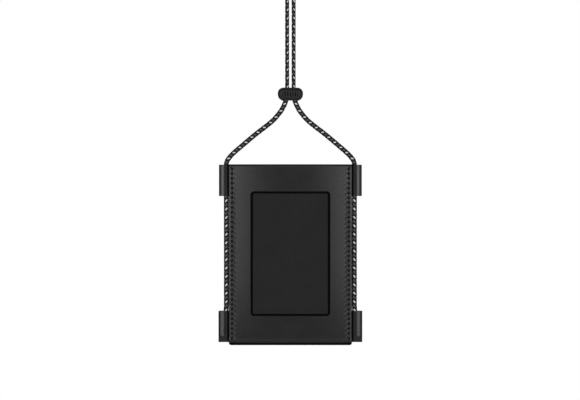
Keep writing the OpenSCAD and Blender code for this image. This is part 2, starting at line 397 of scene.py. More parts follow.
def mixed(tree, share, first, second):
    node = add_node(tree, "ShaderNodeMix", data_type="RGBA")
    for socket, value in ((0, share), (6, first), (7, second)):
        if isinstance(value, bpy.types.NodeSocket):
            tree.links.new(value, node.inputs[socket])
        else:
            node.inputs[socket].default_value = value
    return node.outputs[2]


def colour(rgb, share=1.0):
    return (*(channel * share for channel in rgb), 1.0)


def noise(tree, place, scale, detail=3.0, roughness=0.55):
    inputs = {"Vector": place, "Scale": scale, "Detail": detail, "Roughness": roughness}
    return add_node(tree, "ShaderNodeTexNoise", inputs).outputs["Fac"]


def bumped(tree, height, distance, strength, below=None):
    inputs = {"Height": height, "Distance": distance, "Strength": strength}
    if below:
        inputs["Normal"] = below
    return add_node(tree, "ShaderNodeBump", inputs).outputs["Normal"]


def object_place(tree):
    return add_node(tree, "ShaderNodeTexCoord").outputs["Object"]


def paint_and_shade_material(name, tone):
    """Dull black edge paint on cut leather, also used as painted shade in stitch holes, crevices,
    folds and grip grooves.
    """
    material, tree, shader = new_material(name)
    brushed = noise(tree, object_place(tree), 1400, 3, 0.6)
    base = mixed(tree, brushed, colour(tone, 0.06), colour(tone, 0.16))
    finish_with(tree, shader, base, None, rough=0.9, gloss=0.08)
    return material


# Faces this near to a dark edge get the dark second material, as edge paint on cut edges and as
# painted shade along folds and crevices; faces this near to the middle of a stitch hole get it as
# painted shadow.
PAINT_AND_SHADE_MM = 0.2
HOLE_SHADOW_FROM = 0.5


def paint_faces(piece, material, chosen):
    """Puts a second material on the faces that chosen picks."""
    piece.data.materials.append(material)
    for face in piece.data.polygons:
        if chosen(face):
            face.material_index = 1


def paint_edges(piece, material, painted):
    """Puts the edge paint and painted shade on the faces whose points are all painted."""
    paint_faces(piece, material, lambda face: all(painted[corner] for corner in face.vertices))


def leather_material(name, tone, gloss, side=None):
    """Smooth full-grain leather: pebbled pores, uneven dye, worn specks, edge paint with painted
    shade in stitch holes, crevices and folds, and, for the shell, a painted highlight down its side
    edges.
    """
    material, tree, shader = new_material(name)
    place = object_place(tree)
    edge = add_node(tree, "ShaderNodeAttribute", attribute_name="edge_mm").outputs["Fac"]
    hole = add_node(tree, "ShaderNodeAttribute", attribute_name="hole").outputs["Fac"]
    cloudy = noise(tree, place, 90, 4)
    fine = noise(tree, place, 900, 5, 0.6)
    cells = add_node(tree, "ShaderNodeTexVoronoi", {"Vector": place, "Scale": 2300.0},
                     feature="DISTANCE_TO_EDGE").outputs["Distance"]
    pores = mapped(tree, cells, 0.0, 0.18, 0.0, 1.0)
    dyed = mixed(tree, mapped(tree, cloudy, 0.35, 0.7, 0.0, 1.0),
                 colour(tone, 0.85), colour(tone, 1.2))
    rubbed_and_highlit = mixed(tree, mapped(tree, fine, 0.45, 0.8, 0.0, 0.35), dyed, colour(tone, 2.2))
    # Darker towards tone × 0.15 where painted: edge paint on the cut edges, and painted shade in
    # the stitch holes, the loops' crevices, the upper loops' outer folds and under the bottom fold.
    painted = math_of(tree, "MAXIMUM", mapped(tree, edge, 0.15, 0.55, 1.0, 0.0),
                      mapped(tree, hole, 0.3, 0.7, 0.0, 1.0))
    # A painted highlight: a lighter band just inside each side edge, standing in for the rounded
    # edge catching the side lights.
    if side is not None:
        across = add_node(tree, "ShaderNodeSeparateXYZ", {0: place}).outputs[0]
        beside = mapped(tree, math_of(tree, "ABSOLUTE", across), side - 1.05 * MM,
                        side - 0.65 * MM, 0.0, 0.9)
        rubbed_and_highlit = mixed(tree, beside, rubbed_and_highlit, colour(tone, 5.5))
    worn = math_of(tree, "MULTIPLY_ADD", fine, 0.16, gloss - 0.08)
    tree.links.new(math_of(tree, "MULTIPLY_ADD", painted, 0.5, worn), shader.inputs["Roughness"])
    grain = bumped(tree, pores, 0.00002, 0.3)
    relief = bumped(tree, noise(tree, place, 420, 3), 0.00012, 0.25, grain)
    base = mixed(tree, painted, rubbed_and_highlit, colour(tone, 0.15))
    finish_with(tree, shader, base, relief, ior=1.48)
    return material


def lining_material(tone):
    """The divider's matt split leather, with a short nap."""
    material, tree, shader = new_material("divider_suede")
    place = object_place(tree)
    nap = noise(tree, place, 1800, 5, 0.7)
    cloudy = noise(tree, place, 60, 3)
    faded = mixed(tree, mapped(tree, cloudy, 0.3, 0.7, 0.0, 1.0),
                  colour(tone, 0.92), colour(tone, 1.08))
    base = mixed(tree, mapped(tree, nap, 0.4, 0.75, 0.0, 0.5), faded, colour(tone, 1.5))
    finish_with(tree, shader, base, bumped(tree, nap, 0.00006, 0.5), rough=0.85, gloss=0.25,
                sheen=0.04)
    return material


def thread_material(tone):
    """Waxed linen thread, twisted from two plies."""
    material, tree, shader = new_material("waxed_thread")
    place = object_place(tree)
    fibres = noise(tree, place, 2600, 4, 0.6)
    base = mixed(tree, mapped(tree, fibres, 0.35, 0.7, 0.0, 1.0), colour(tone, 0.7),
                 colour(tone, 2.0))
    finish_with(tree, shader, base, bumped(tree, fibres, 0.00005, 0.5), rough=0.38)
    return material


def bead_material(tone):
    """Matt soft-touch moulding with a fine spark-eroded skin."""
    material, tree, shader = new_material("soft_touch_bead")
    place = object_place(tree)
    skin = noise(tree, place, 3200, 3, 0.6)
    cloudy = noise(tree, place, 220, 3)
    base = mixed(tree, mapped(tree, cloudy, 0.35, 0.7, 0.0, 1.0), colour(tone, 0.92),
                 colour(tone, 1.12))
    tree.links.new(math_of(tree, "MULTIPLY_ADD", cloudy, 0.1, 0.52), shader.inputs["Roughness"])
    finish_with(tree, shader, base, bumped(tree, skin, 0.00002, 0.4), ior=1.42)
    return material


def braid_material(name, settings):
    """Sixteen yarns over two and under two. The white and grey tracers wind one way in the
    left half of the cord and the other way in its right half."""
    material, tree, shader = new_material(name)
    turn = add_node(tree, "ShaderNodeUVMap", uv_map="braid").outputs[0]
    parts = add_node(tree, "ShaderNodeSeparateXYZ", {0: turn}).outputs
    one_way, other_way = (
        math_of(tree, "MULTIPLY", math_of(tree, way, parts[0], parts[1]), settings.yarns)
        for way in ("ADD", "SUBTRACT"))
    lanes = [math_of(tree, "FLOOR", way) for way in (one_way, other_way)]
    crossing = math_of(tree, "FLOORED_MODULO", math_of(tree, "ADD", *lanes), 4.0)
    first_on_top = math_of(tree, "LESS_THAN", crossing, 1.5)
    lane = add_node(tree, "ShaderNodeMix", {0: first_on_top, 2: lanes[1], 3: lanes[0]}).outputs[0]
    winding = add_node(
        tree, "ShaderNodeMix", {0: first_on_top, 2: other_way, 3: one_way}).outputs[0]
    beside = math_of(tree, "FRACT", winding)
    place = object_place(tree)
    across = add_node(tree, "ShaderNodeSeparateXYZ", {0: place}).outputs[0]
    right_half = math_of(tree, "GREATER_THAN", across, 0.0)
    traced = math_of(tree, "COMPARE", first_on_top, right_half, 0.5)
    tracer = math_of(tree, "FLOORED_MODULO", lane, 4.0)
    white, grey = (
        math_of(tree, "MULTIPLY", traced, math_of(tree, "COMPARE", tracer, number, 0.5))
        for number in (0.0, 2.0))
    rounded = math_of(tree, "PINGPONG", beside, 0.5)
    fuzz = noise(tree, place, 2400, 4, 0.65)
    strands = math_of(tree, "SINE", math_of(tree, "MULTIPLY", beside, 5 * math.tau))
    dyed = mixed(tree, white, mixed(tree, grey, colour(settings.black), colour(settings.grey)),
                 colour(settings.white))
    # Painted shade along each yarn's edges, in the valleys between the yarns.
    shaded = mixed(tree, mapped(tree, rounded, 0.02, 0.2, 0.75, 0.0), dyed, colour((0.002,) * 3))
    base = mixed(tree, mapped(tree, fuzz, 0.5, 0.75, 0.0, 0.25), shaded, colour((0.012,) * 3))
    lines = bumped(tree, strands, 0.00003, 0.4)
    relief = bumped(tree, fuzz, 0.00006, 0.5, lines)
    finish_with(tree, shader, base, relief, rough=0.6, gloss=0.25)
    return material


def floor_material():
    material, tree, shader = new_material("pale_floor")
    speckle = noise(tree, object_place(tree), 40, 4)
    base = mixed(tree, mapped(tree, speckle, 0.4, 0.7, 0.0, 1.0), colour((0.78,) * 3),
                 colour((0.82,) * 3))
    finish_with(tree, shader, base, None, rough=0.8)
    return material


# The cord

def smooth_route(points, step):
    """Evenly spaced points on one smooth curve through the route."""
    gaps = np.linalg.norm(np.diff(points, axis=0), axis=1)
    at = np.concatenate([[0], np.cumsum(np.sqrt(gaps))])
    slopes = np.gradient(points, at, axis=0)
    fine = []
    for k in range(len(points) - 1):
        t = np.linspace(0, 1, 60, endpoint=k == len(points) - 2)[:, None]
        span = at[k + 1] - at[k]
        fine.append((2 * t**3 - 3 * t**2 + 1) * points[k] + (t**3 - 2 * t**2 + t) * span * slopes[k]
                    + (3 * t**2 - 2 * t**3) * points[k + 1] + (t**3 - t**2) * span * slopes[k + 1])
    fine = np.concatenate(fine)
    along = np.concatenate([[0], np.cumsum(np.linalg.norm(np.diff(fine, axis=0), axis=1))])
    even = np.linspace(0, along[-1], round(along[-1] / step) + 1)
    return np.stack([np.interp(even, along, fine[:, k]) for k in range(2)], axis=1), even


def braid_height(turn, wound, yarns):
    """How high the braid stands at each place, from 0 in a valley to 1 on a yarn's back."""
    one_way, other_way = yarns * (turn + wound), yarns * (turn - wound)
    crossing = np.mod(np.floor(one_way) + np.floor(other_way), 4)
    first_on_top = crossing < 2
    beside = np.mod(np.where(first_on_top, one_way, other_way), 1)
    under = np.mod(np.where(first_on_top, other_way, one_way), 1)
    float_share = (np.where(first_on_top, crossing, crossing - 2) + under) / 2
    crown = np.sqrt(np.clip(1 - (2 * beside - 1) ** 2, 0, 1))
    return crown * (0.55 + 0.45 * np.sin(math.pi * float_share))


def braided_tube(name, rings, phase, wound, lean=0.0):
    """A closed tube through rings of points, with its yarns' turns as a UV map."""
    count, around = rings.shape[:2]
    k, i = np.meshgrid(np.arange(around), np.arange(count - 1))
    following = (k + 1) % around
    quads = np.stack([i * around + k, i * around + following,
                      (i + 1) * around + following, (i + 1) * around + k], axis=2).reshape(-1, 4)
    ends = [list(range(around))[::-1], list(range((count - 1) * around, count * around))]
    mesh = bpy.data.meshes.new(name)
    mesh.from_pydata(rings.reshape(-1, 3).tolist(), [], quads.tolist() + ends)
    turn = (np.stack([k, k + 1, k + 1, k], axis=2) / around).reshape(-1, 4)
    ring = np.stack([i, i, i + 1, i + 1], axis=2).reshape(-1, 4)
    corners = np.stack([turn + phase[ring], wound[ring] + lean * turn], axis=2).reshape(-1, 2)
    corners = np.concatenate([corners, np.zeros((2 * around, 2))])
    uv = mesh.uv_layers.new(name="braid")
    uv.data.foreach_set("uv", corners.astype(np.float32).ravel())
    tube = bpy.data.objects.new(name, mesh)
    bpy.context.collection.objects.link(tube)
    return tube


def cord_rings(line, along, radius, wound, settings, phase):
    """Rings of points round a line in the XZ plane, raised where a yarn lies on top."""
    ahead = np.gradient(line, along, axis=0)
    ahead /= np.linalg.norm(ahead, axis=1)[:, None]
    beside = np.stack([-ahead[:, 1], ahead[:, 0]], axis=1)
    around = 48
    turn = np.arange(around)[None, :] / around
    angle = math.tau * turn
    height = braid_height(turn + phase[:, None], wound[:, None], settings.yarns)
    reach = radius[:, None] - settings.groove * (1 - height)
    return np.stack([
        line[:, :1] + reach * np.cos(angle) * beside[:, :1],
        -reach * np.sin(angle),
        line[:, 1:] + reach * np.cos(angle) * beside[:, 1:]], axis=2)


class WALLET_OT_add_cord(bpy.types.Operator):
    """Braid the cord and lay it through the loops and the bead, with its bight at the top"""

    bl_idname = "wallet.add_cord"
    bl_label = "Cord"
    bl_options = {"REGISTER", "UNDO"}

    def execute(self, context):
        settings = context.scene.wallet_cord
        half = np.array(NECK_ROUTE + SIDE_ROUTE)
        route = np.concatenate([half[:0:-1] * [-1, 1], half])
        ring_gap = 0.43 * MM
        line, along = smooth_route(route, ring_gap)
        tight_low, slack_high = -135 * MM, -139 * MM
        tight = np.clip((line[:, 1] - slack_high) / (tight_low - slack_high), 0, 1)
        nominal = settings.slack_d + (settings.tight_d - settings.slack_d) * tight
        mouth = 2 * MM
        squeezed = (smooth_step(line[:, 1], upper_low.z, upper_low.z + mouth)
                    * (1 - smooth_step(line[:, 1], upper_high.z - mouth, upper_high.z)))
        radius = nominal / 2 + (1 - squeezed) * (1 - tight) * settings.groove / 2
        from_middle = along - along[-1] / 2
        bight = 20 * MM
        right = smooth_step(from_middle, -bight, bight)
        turn_in_bead = 0.058
        neck_turn = turn_in_bead * smooth_step(line[:, 1], bead_low.z, bead_high.z)
        left_front, right_front = -1 / 32, 3 / 32
        phase = (1 - right) * (left_front - neck_turn) + right * (right_front + neck_turn)
        distances, turns = np.array(YARN_TURNS).T
        wound_at_middle = 7 / 16
        wound = wound_at_middle + np.sign(from_middle) * np.interp(
            np.abs(from_middle), distances, turns)
        rings = cord_rings(line, along, radius, wound, settings, phase)
        cord = braided_tube("cord", rings, phase, wound)
        smooth_by_angle(cord, 60)
        finished(cord, None, "braid", braid_material("braided_cord", settings),
                 "neck_cord", "left_side_cord", "right_side_cord")
        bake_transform(cord)
        return {"FINISHED"}


# The bead

def rounded_block(name, low, high, side_r, top_r, low_r):
    """A block with rounded upright edges, and a rounding of its own at the top and bottom."""
    deselect()
    bpy.ops.mesh.primitive_cube_add(size=1, location=(low + high) / 2, scale=high - low)
    block = named(name)
    settle(block)
    near = 0.01 * MM

    def rim(z):
        return lambda edge: all(abs(vert.co.z - z) < near for vert in edge.verts)

    edit_selected(block, "EDGE", lambda edge: span(edge, 2) > near,
                  lambda: bpy.ops.mesh.bevel(offset=side_r, segments=16, affect="EDGES"))
    for z, radius in ((high.z, top_r), (low.z, low_r)):
        edit_selected(block, "EDGE", rim(z),
                      lambda: bpy.ops.mesh.bevel(offset=radius, segments=10, affect="EDGES"))
    return block


class WALLET_OT_add_bead(bpy.types.Operator):
    """Mould the sliding bead with its two flared bores and its grip grooves"""

    bl_idname = "wallet.add_bead"
    bl_label = "Bead"
    bl_options = {"REGISTER", "UNDO"}

    def execute(self, context):
        settings = context.scene.wallet_bead
        depth = bead_high.y - bead_low.y
        middle = (bead_low + bead_high) / 2
        bead = rounded_block("bead", bead_low, bead_high, 0.998 * depth / 2,
                             settings.top_r, settings.low_r)
        cutters = []
        bore_r, through, near = settings.bore_d / 2, 20 * MM, 0.01 * MM
        flare_z = bead_low.z + settings.flare_h / 2 - near
        for _, side in SIDES:
            x = side * settings.bore_x
            deselect()
            bpy.ops.mesh.primitive_cylinder_add(
                vertices=48, radius=bore_r, depth=through, location=(x, 0, middle.z))
            cutters.append(named("bore"))
            deselect()
            bpy.ops.mesh.primitive_cone_add(
                vertices=48, radius1=settings.flare_r, radius2=bore_r - near,
                depth=settings.flare_h, location=(x, 0, flare_z))
            cutters.append(named("flare"))
        beyond, groove_r = 1 * MM, settings.groove_w * 0.45
        for face in (-1, 1):
            for k in range(settings.grooves):
                x = (k - (settings.grooves - 1) / 2) * settings.groove_pitch
                y = face * (depth / 2 - settings.groove_cut + beyond / 2)
                deselect()
                bpy.ops.mesh.primitive_cube_add(
                    size=1, location=(x, y, middle.z),
                    scale=(settings.groove_w, beyond, settings.groove_h))
                grip = named("grip")
                settle(grip)
                edit_selected(grip, "EDGE", lambda edge: span(edge, 1) > beyond / 2,
                              lambda: bpy.ops.mesh.bevel(offset=groove_r, segments=4,
                                                         affect="EDGES"))
                cutters.append(grip)
        cut_away(bead, *cutters)
        ease_edges(bead, 0.12 * MM, 45)
        smooth_by_angle(bead, 35)
        finished(bead, "bead", "bead", bead_material(settings.colour), "cord_bead")

        def in_groove(face):
            """Whether every corner of a face lies inside one grip groove."""
            nearest = round(face.center.x / settings.groove_pitch) * settings.groove_pitch
            corners = [bead.data.vertices[corner].co for corner in face.vertices]
            reach = 0.52
            return (abs(nearest) < settings.grooves * settings.groove_pitch / 2
                    and all(abs(corner.x - nearest) < reach * settings.groove_w
                            and abs(corner.z - middle.z) < reach * settings.groove_h
                            and abs(corner.y) > 0.3 * depth for corner in corners))

        # The grip grooves get the dull dark material as painted shade in their recesses.
        paint_faces(bead, paint_and_shade_material("groove_shade", settings.colour), in_groove)
        return {"FINISHED"}


# The pouch

def seam_out(pouch):
    return pouch.divider_t / 2 + pouch.leather_t


def fill_share(height, pouch):
    """How full the pouch is at a height over its bottom fold."""
    return np.sqrt(np.sin(math.pi / 2 * np.clip(height / pouch.fill_h, 0, 1)))


def swell(x, pouch):
    """How far each place between the seams swells, as a share of the bulge."""
    share = np.clip(np.abs(x) / (shell_high.x - pouch.swell_from), 0, 1)
    return np.clip(1 - share**2, 0, 1) + 0.10 * share**2 * (1 - share) ** 2


def bulge(pouch):
    return shell_high.y - seam_out(pouch)


def fold_sheet(x, along, pouch):
    """Where a flat place goes when the sheet is folded under and swells, on its outer face."""
    r = seam_out(pouch)
    turned = np.minimum(np.abs(along) / r, math.pi / 2)
    height = pouch.fold_h * (1 - np.cos(turned)) + np.maximum(np.abs(along) - r * math.pi / 2, 0)
    out = r * np.sin(turned) + bulge(pouch) * swell(x, pouch) * fill_share(height, pouch)
    corner = pouch.corner_r
    below = np.clip((corner - height) / corner, 0, 1)
    drawn_in = corner * (1 - np.sqrt(1 - below**2))
    margin = np.clip((np.abs(x) - (shell_high.x - pouch.seam_w)) / pouch.seam_w, 0, 1)
    x = x - np.sign(x) * drawn_in * margin
    return np.stack([x, np.sign(along) * out, shell_low.z + height], axis=-1)


def round_window_corners(x, height, pouch):
    """Draws the grid lines near each corner of the window round it."""
    reach = 8 * MM
    window_top = shell_high.z - shell_low.z - pouch.window_drop
    centre_z = window_top - pouch.window_h / 2
    dx = np.abs(x) - (pouch.window_w / 2 - pouch.window_r)
    dz = np.abs(height - centre_z) - (pouch.window_h / 2 - pouch.window_r)
    square = np.maximum(dx, dz)
    near = (dx > 0) & (dz > 0)
    safe = np.where(near, square, 1)
    angle = np.where(dz < dx, dz / safe, 2 - dx / safe) * math.pi / 4
    share = 1 - smooth_step(square, pouch.window_r + 0.5 * MM, pouch.window_r + reach)
    round_x = np.where(near, dx + share * (square * np.cos(angle) - dx), dx)
    round_z = np.where(near, dz + share * (square * np.sin(angle) - dz), dz)
    return (np.sign(x) * (round_x + pouch.window_w / 2 - pouch.window_r),
            centre_z + np.sign(height - centre_z)
            * (round_z + pouch.window_h / 2 - pouch.window_r))


def window_gap(x, z, pouch):
    """Distance from the window's edge, outwards."""
    centre_z = shell_high.z - pouch.window_drop - pouch.window_h / 2
    dx = np.abs(x) - pouch.window_w / 2 + pouch.window_r
    dz = np.abs(z - centre_z) - pouch.window_h / 2 + pouch.window_r
    outside = np.hypot(np.maximum(dx, 0), np.maximum(dz, 0))
    return outside + np.minimum(np.maximum(dx, dz), 0) - pouch.window_r


def skive_window(places, pouch):
    """Slopes the cut edge of the window, so that its painted bevel shows all round."""
    x, y, z = places.T
    height = z - shell_low.z
    out = seam_out(pouch) + bulge(pouch) * swell(x, pouch) * fill_share(height, pouch)
    depth = np.clip((out + y) / pouch.leather_t, 0, 1)
    gap = window_gap(x, z, pouch)
    bevel_w, reach, nudge = 1.5 * MM, 2.6 * MM, 0.1 * MM
    pull = bevel_w * depth * (1 - smooth_step(gap, 0, reach)) * (y < 0)
    slope_x = window_gap(x + nudge, z, pouch) - window_gap(x - nudge, z, pouch)
    slope_z = window_gap(x, z + nudge, pouch) - window_gap(x, z - nudge, pouch)
    steep = np.maximum(np.hypot(slope_x, slope_z), 1e-9)
    places[:, 0] -= pull * slope_x / steep
    places[:, 2] -= pull * slope_z / steep


def edge_distance(places, pouch):
    """Distance in millimetres from the dark edges: edge paint that runs a little way over the
    mouth's edge with painted shade along the rim, painted shade under the bottom fold, and edge
    paint on the very edge at the sides."""
    x, y, z = places.T
    side_narrow, mouth_wide, fold_shade_wide = 4, 4, 11
    gap = np.minimum(side_narrow * (shell_high.x - np.abs(x)), (shell_high.z - z) / mouth_wide)
    gap = np.minimum(gap, (z - shell_low.z) / fold_shade_wide)
    gap = np.where(y < 0, np.minimum(gap, window_gap(x, z, pouch)), gap)
    return np.maximum(gap, 0) / MM


def seam_relief(x, z, pouch, stitches):
    """How far the stitches draw the leather in, with the pull marks beside them."""
    groove_deep, groove_wide = 0.50, 0.95
    pucker_deep, pucker_lean, pucker_start = 0.22, 0.4, 0.185
    side_deep, side_wide, mouth_deep, mouth_wide = 0.65, 1.1 * MM, 0.3, 0.8 * MM
    hole_deep = 0.6
    beside = (np.abs(x) - (shell_high.x - stitches.inset)) / MM
    below = (shell_high.z - stitches.first - z) / stitches.pitch
    last, fade = stitches.count - 1, 0.35
    sewn = smooth_step(below, -fade, 0.0) * (1 - smooth_step(below, last, last + fade))
    groove = groove_deep * np.exp(-((beside / groove_wide) ** 2)) * sewn
    inner = np.clip(-beside, 0, None)
    pull_marks = np.cos(math.tau * (below - pucker_lean * inner - pucker_start))
    lower = 0.45 + 0.55 * smooth_step(below, 1, 12)
    puckers = (pucker_deep * lower * sewn * pull_marks
               * smooth_step(inner, 0.3, 1.0) * (1 - smooth_step(inner, 1.8, 3.6)))
    from_edge = (shell_high.x - np.abs(x)) / side_wide
    rounded = side_deep * np.clip(1 - from_edge, 0, 1) ** 2
    from_mouth = (shell_high.z - z) / mouth_wide
    rounded = np.maximum(rounded, mouth_deep * np.clip(1 - from_mouth, 0, 1) ** 2)
    return (groove + hole_deep * hole_share(x, z, stitches) - puckers + rounded) * MM


def hole_share(x, z, stitches):
    """How near each place is to a stitch hole, from 0 to 1 at its middle."""
    beside = (np.abs(x) - (shell_high.x - stitches.inset)) / MM
    below = (shell_high.z - stitches.first - z) / stitches.pitch
    nearest = np.clip(np.round(below), 0, stitches.count - 1)
    from_hole = (below - nearest) * stitches.pitch / MM
    return np.exp(-((beside / stitches.hole_mm) ** 2) - (from_hole / stitches.hole_mm) ** 2)


class WALLET_OT_add_shell(bpy.types.Operator):
    """Cut the outer leather flat, fold it under, thicken it and dress its seams"""

    bl_idname = "wallet.add_shell"
    bl_label = "Pouch shell"
    bl_options = {"REGISTER", "UNDO"}

    def execute(self, context):
        pouch, stitches = context.scene.wallet_pouch, context.scene.wallet_stitches
        tall = shell_high.z - shell_low.z
        r = seam_out(pouch)
        fold_l = r * math.pi / 2
        dense, plain = 0.4 * MM, stitches.pitch / 2
        past = 4 * dense
        window_x = pouch.window_w / 2
        half_x = stations(
            [0, window_x - pouch.window_r, window_x + past, shell_high.x - 6 * MM, shell_high.x],
            [2.6 * MM, dense, 2 * MM, 1 * MM])
        columns = both_sides(half_x)
        window_top = tall - pouch.window_drop
        window_low = window_top - pouch.window_h
        rim = 2 * MM
        front = stations(
            [tall, tall - rim, window_top + past, window_top - pouch.window_r,
             window_low + pouch.window_r, window_low - past, 2.5 * r, pouch.fold_h],
            [dense, plain, dense, plain, dense, plain, 0.7 * MM])
        back = stations([pouch.fold_h, 2.5 * r, tall - rim, tall], [0.7 * MM, plain, dense])
        fold = stations([-fold_l, fold_l], [0.3 * MM])
        to_flat = fold_l - pouch.fold_h
        rows = np.concatenate([-(front + to_flat), fold[1:-1], back + to_flat])
        shell = flat_sheet("shell", columns, rows)

        def in_window(face):
            place = face.calc_center_median()
            height = -place.y - to_flat
            return (abs(place.x) < window_x and place.y < 0
                    and window_low < height < window_top)

        edit_selected(shell, "FACE", in_window, lambda: bpy.ops.mesh.delete(type="FACE"))
        flat = points_of(shell)
        x, along = flat[:, 0], flat[:, 1]
        in_front = along < -fold_l
        round_x, round_height = round_window_corners(x, -along - to_flat, pouch)
        x = np.where(in_front, round_x, x)
        along = np.where(in_front, -(round_height + to_flat), along)
        move_points(shell, fold_sheet(x, along, pouch))
        turn_outwards(shell, lambda place: Vector((0, place.y, 0)))
        apply_modifier(shell, "SOLIDIFY", thickness=pouch.leather_t, offset=-1,
                       use_even_offset=True)
        ease_edges(shell, 0.22 * MM)

        def on_seam(face):
            place = face.calc_center_median()
            return (abs(place.x) > shell_high.x - 6 * MM and abs(place.y) > r - 0.12 * MM
                    and place.z > shell_low.z + 2 * MM)

        edit_selected(shell, "FACE", on_seam, lambda: bpy.ops.mesh.subdivide(number_cuts=4))
        places = points_of(shell)
        skive_window(places, pouch)
        outer = smooth_step(np.abs(places[:, 1]), 0.7 * r, 0.9 * r)
        places[:, 1] -= (np.sign(places[:, 1]) * outer
                         * seam_relief(places[:, 0], places[:, 2], pouch, stitches))
        move_points(shell, places)
        edge_mm = edge_distance(places, pouch)
        # hole marks the painted shadow in and round each stitch hole.
        hole = hole_share(places[:, 0], places[:, 2], stitches) * outer
        store(shell, "edge_mm", edge_mm)
        store(shell, "hole", hole)
        smooth_by_angle(shell, 50)
        leather = leather_material("pouch_leather", pouch.leather, 0.37, shell_high.x)
        finished(shell, "pouch", "leather", leather, "pouch_shell")
        # The dull dark second material: edge paint on the cut edges, painted shade under the bottom
        # fold and painted shadow in the stitch holes.
        paint_edges(shell, paint_and_shade_material("painted_edge_and_shade", pouch.leather),
                    (edge_mm < PAINT_AND_SHADE_MM) | (hole > HOLE_SHADOW_FROM))
        return {"FINISHED"}


class WALLET_OT_add_divider(bpy.types.Operator):
    """Cut the divider and sew it between the front and the back"""

    bl_idname = "wallet.add_divider"
    bl_label = "Divider"
    bl_options = {"REGISTER", "UNDO"}

    def execute(self, context):
        pouch = context.scene.wallet_pouch
        low, high = pouch.leather_t, shell_high.z - shell_low.z
        half_x = stations([0, shell_high.x - 8 * MM, shell_high.x], [2 * MM, 0.5 * MM])
        columns = both_sides(half_x)
        rows = stations([high, low], [2 * MM])
        divider = flat_sheet("divider_panel", columns, rows)
        x, height, _ = points_of(divider).T
        out = (pouch.divider_t / 2
               + pouch.divider_follow * bulge(pouch) * swell(x, pouch) * fill_share(height, pouch))
        wave, edge_w, trimmed = 0.12 * MM, 0.6 * MM, 0.25 * MM
        out += wave * np.sin(height / (17 * MM) + 1.3 * np.sin(x / (19 * MM)))
        drawn_in = np.clip((np.abs(x) - shell_high.x + edge_w) / edge_w, 0, 1)
        x = x - np.sign(x) * drawn_in * trimmed
        move_points(divider, np.stack([x, -out, shell_low.z + height], axis=1))
        turn_outwards(divider, lambda place: Vector((0, -1, 0)))
        apply_modifier(divider, "SOLIDIFY", thickness=pouch.divider_t, offset=-1,
                       use_even_offset=True)
        ease_edges(divider, 0.15 * MM)
        smooth_by_angle(divider, 50)
        finished(divider, "pouch", "lining", lining_material(pouch.lining), "divider")
        return {"FINISHED"}


# The loops

# Half of each loop's outer face seen from above, from its tail in the seam out to its fold:
# [distance out from the seam's edge, distance in front of the middle], in metres.
UPPER_SECTION = [
    [-0.0049, 0.00085], [-0.0020, 0.00085], [-0.0003, 0.00088], [0, 0.0013],
    [0.0003, 0.00185], [0.0006, 0.00218], [0.0010, 0.00238], [0.0014, 0.00245],
    [0.0024, 0.00246], [0.0034, 0.00245], [0.0042, 0.00235], [0.0048, 0.00217],
    [0.0055, 0.00190], [0.0061, 0.00166], [0.0063, 0.00132], [0.0065, 0.00098],
    [0.0067, 0.00088], [0.0071, 0.00087], [0.0074, 0.00086], [0.0077, 0.00084],
    [0.00785, 0.0007], [0.0079, 0.00045], [0.0079, 0.0002], [0.0079, 0],
]
LOWER_SECTION = [
    [-0.0049, 0.00085], [-0.0020, 0.00085], [-0.0003, 0.0009], [0, 0.0015],
    [0.0003, 0.0022], [0.0006, 0.0028], [0.0010, 0.00325], [0.0014, 0.00345],
    [0.0020, 0.00352], [0.0028, 0.00354], [0.0036, 0.00351], [0.0043, 0.00339],
    [0.0050, 0.00316], [0.0058, 0.00285], [0.0066, 0.0025], [0.0072, 0.0021],
    [0.0077, 0.0014], [0.0081, 0.0007], [0.0083, 0],
]


def pinch(places, low, loops):
    """Presses the bottom of a lower loop flat, with a crease over the pressed strip."""
    height = places[:, 2] - low
    out = np.abs(places[:, 0]) - shell_high.x
    ridge = 0.55 * MM * np.exp(-((out - 4.2 * MM) / (1.1 * MM)) ** 2)
    pressed = loops.strip_t + 0.1 * MM + ridge * smooth_step(height, 0, 2 * MM)
    share = smooth_step(height, 1.2 * MM, loops.pinch_h + 1.4 * MM)
    flat = np.sign(places[:, 1]) * np.minimum(np.abs(places[:, 1]), pressed)
    places[:, 1] = np.where(out > -0.2 * MM, flat + share * (places[:, 1] - flat), places[:, 1])


def sew_loop(name, section, low, high, side, loops):
    """Bends a flat strip along its section, and thickens it."""
    front = np.array(section) + [shell_high.x, 0]
    both = np.concatenate([front * [1, -1], front[-2::-1]])
    outline, along = smooth_route(both, 0.2 * MM)
    rows = stations([low, low + 7 * MM, high], [0.4 * MM, 1 * MM])
    strip = flat_sheet(name, along, rows)
    flat = points_of(strip)
    bent = np.stack([side * np.interp(flat[:, 0], along, outline[:, 0]),
                     np.interp(flat[:, 0], along, outline[:, 1]), flat[:, 1]], axis=1)
    if name.startswith("lower"):
        pinch(bent, low, loops)
    move_points(strip, bent)
    turn_outwards(strip, lambda place: Vector((0, place.y, 0)))
    apply_modifier(strip, "SOLIDIFY", thickness=loops.strip_t, offset=-1, use_even_offset=False)
    ease_edges(strip, 0.1 * MM)
    return strip


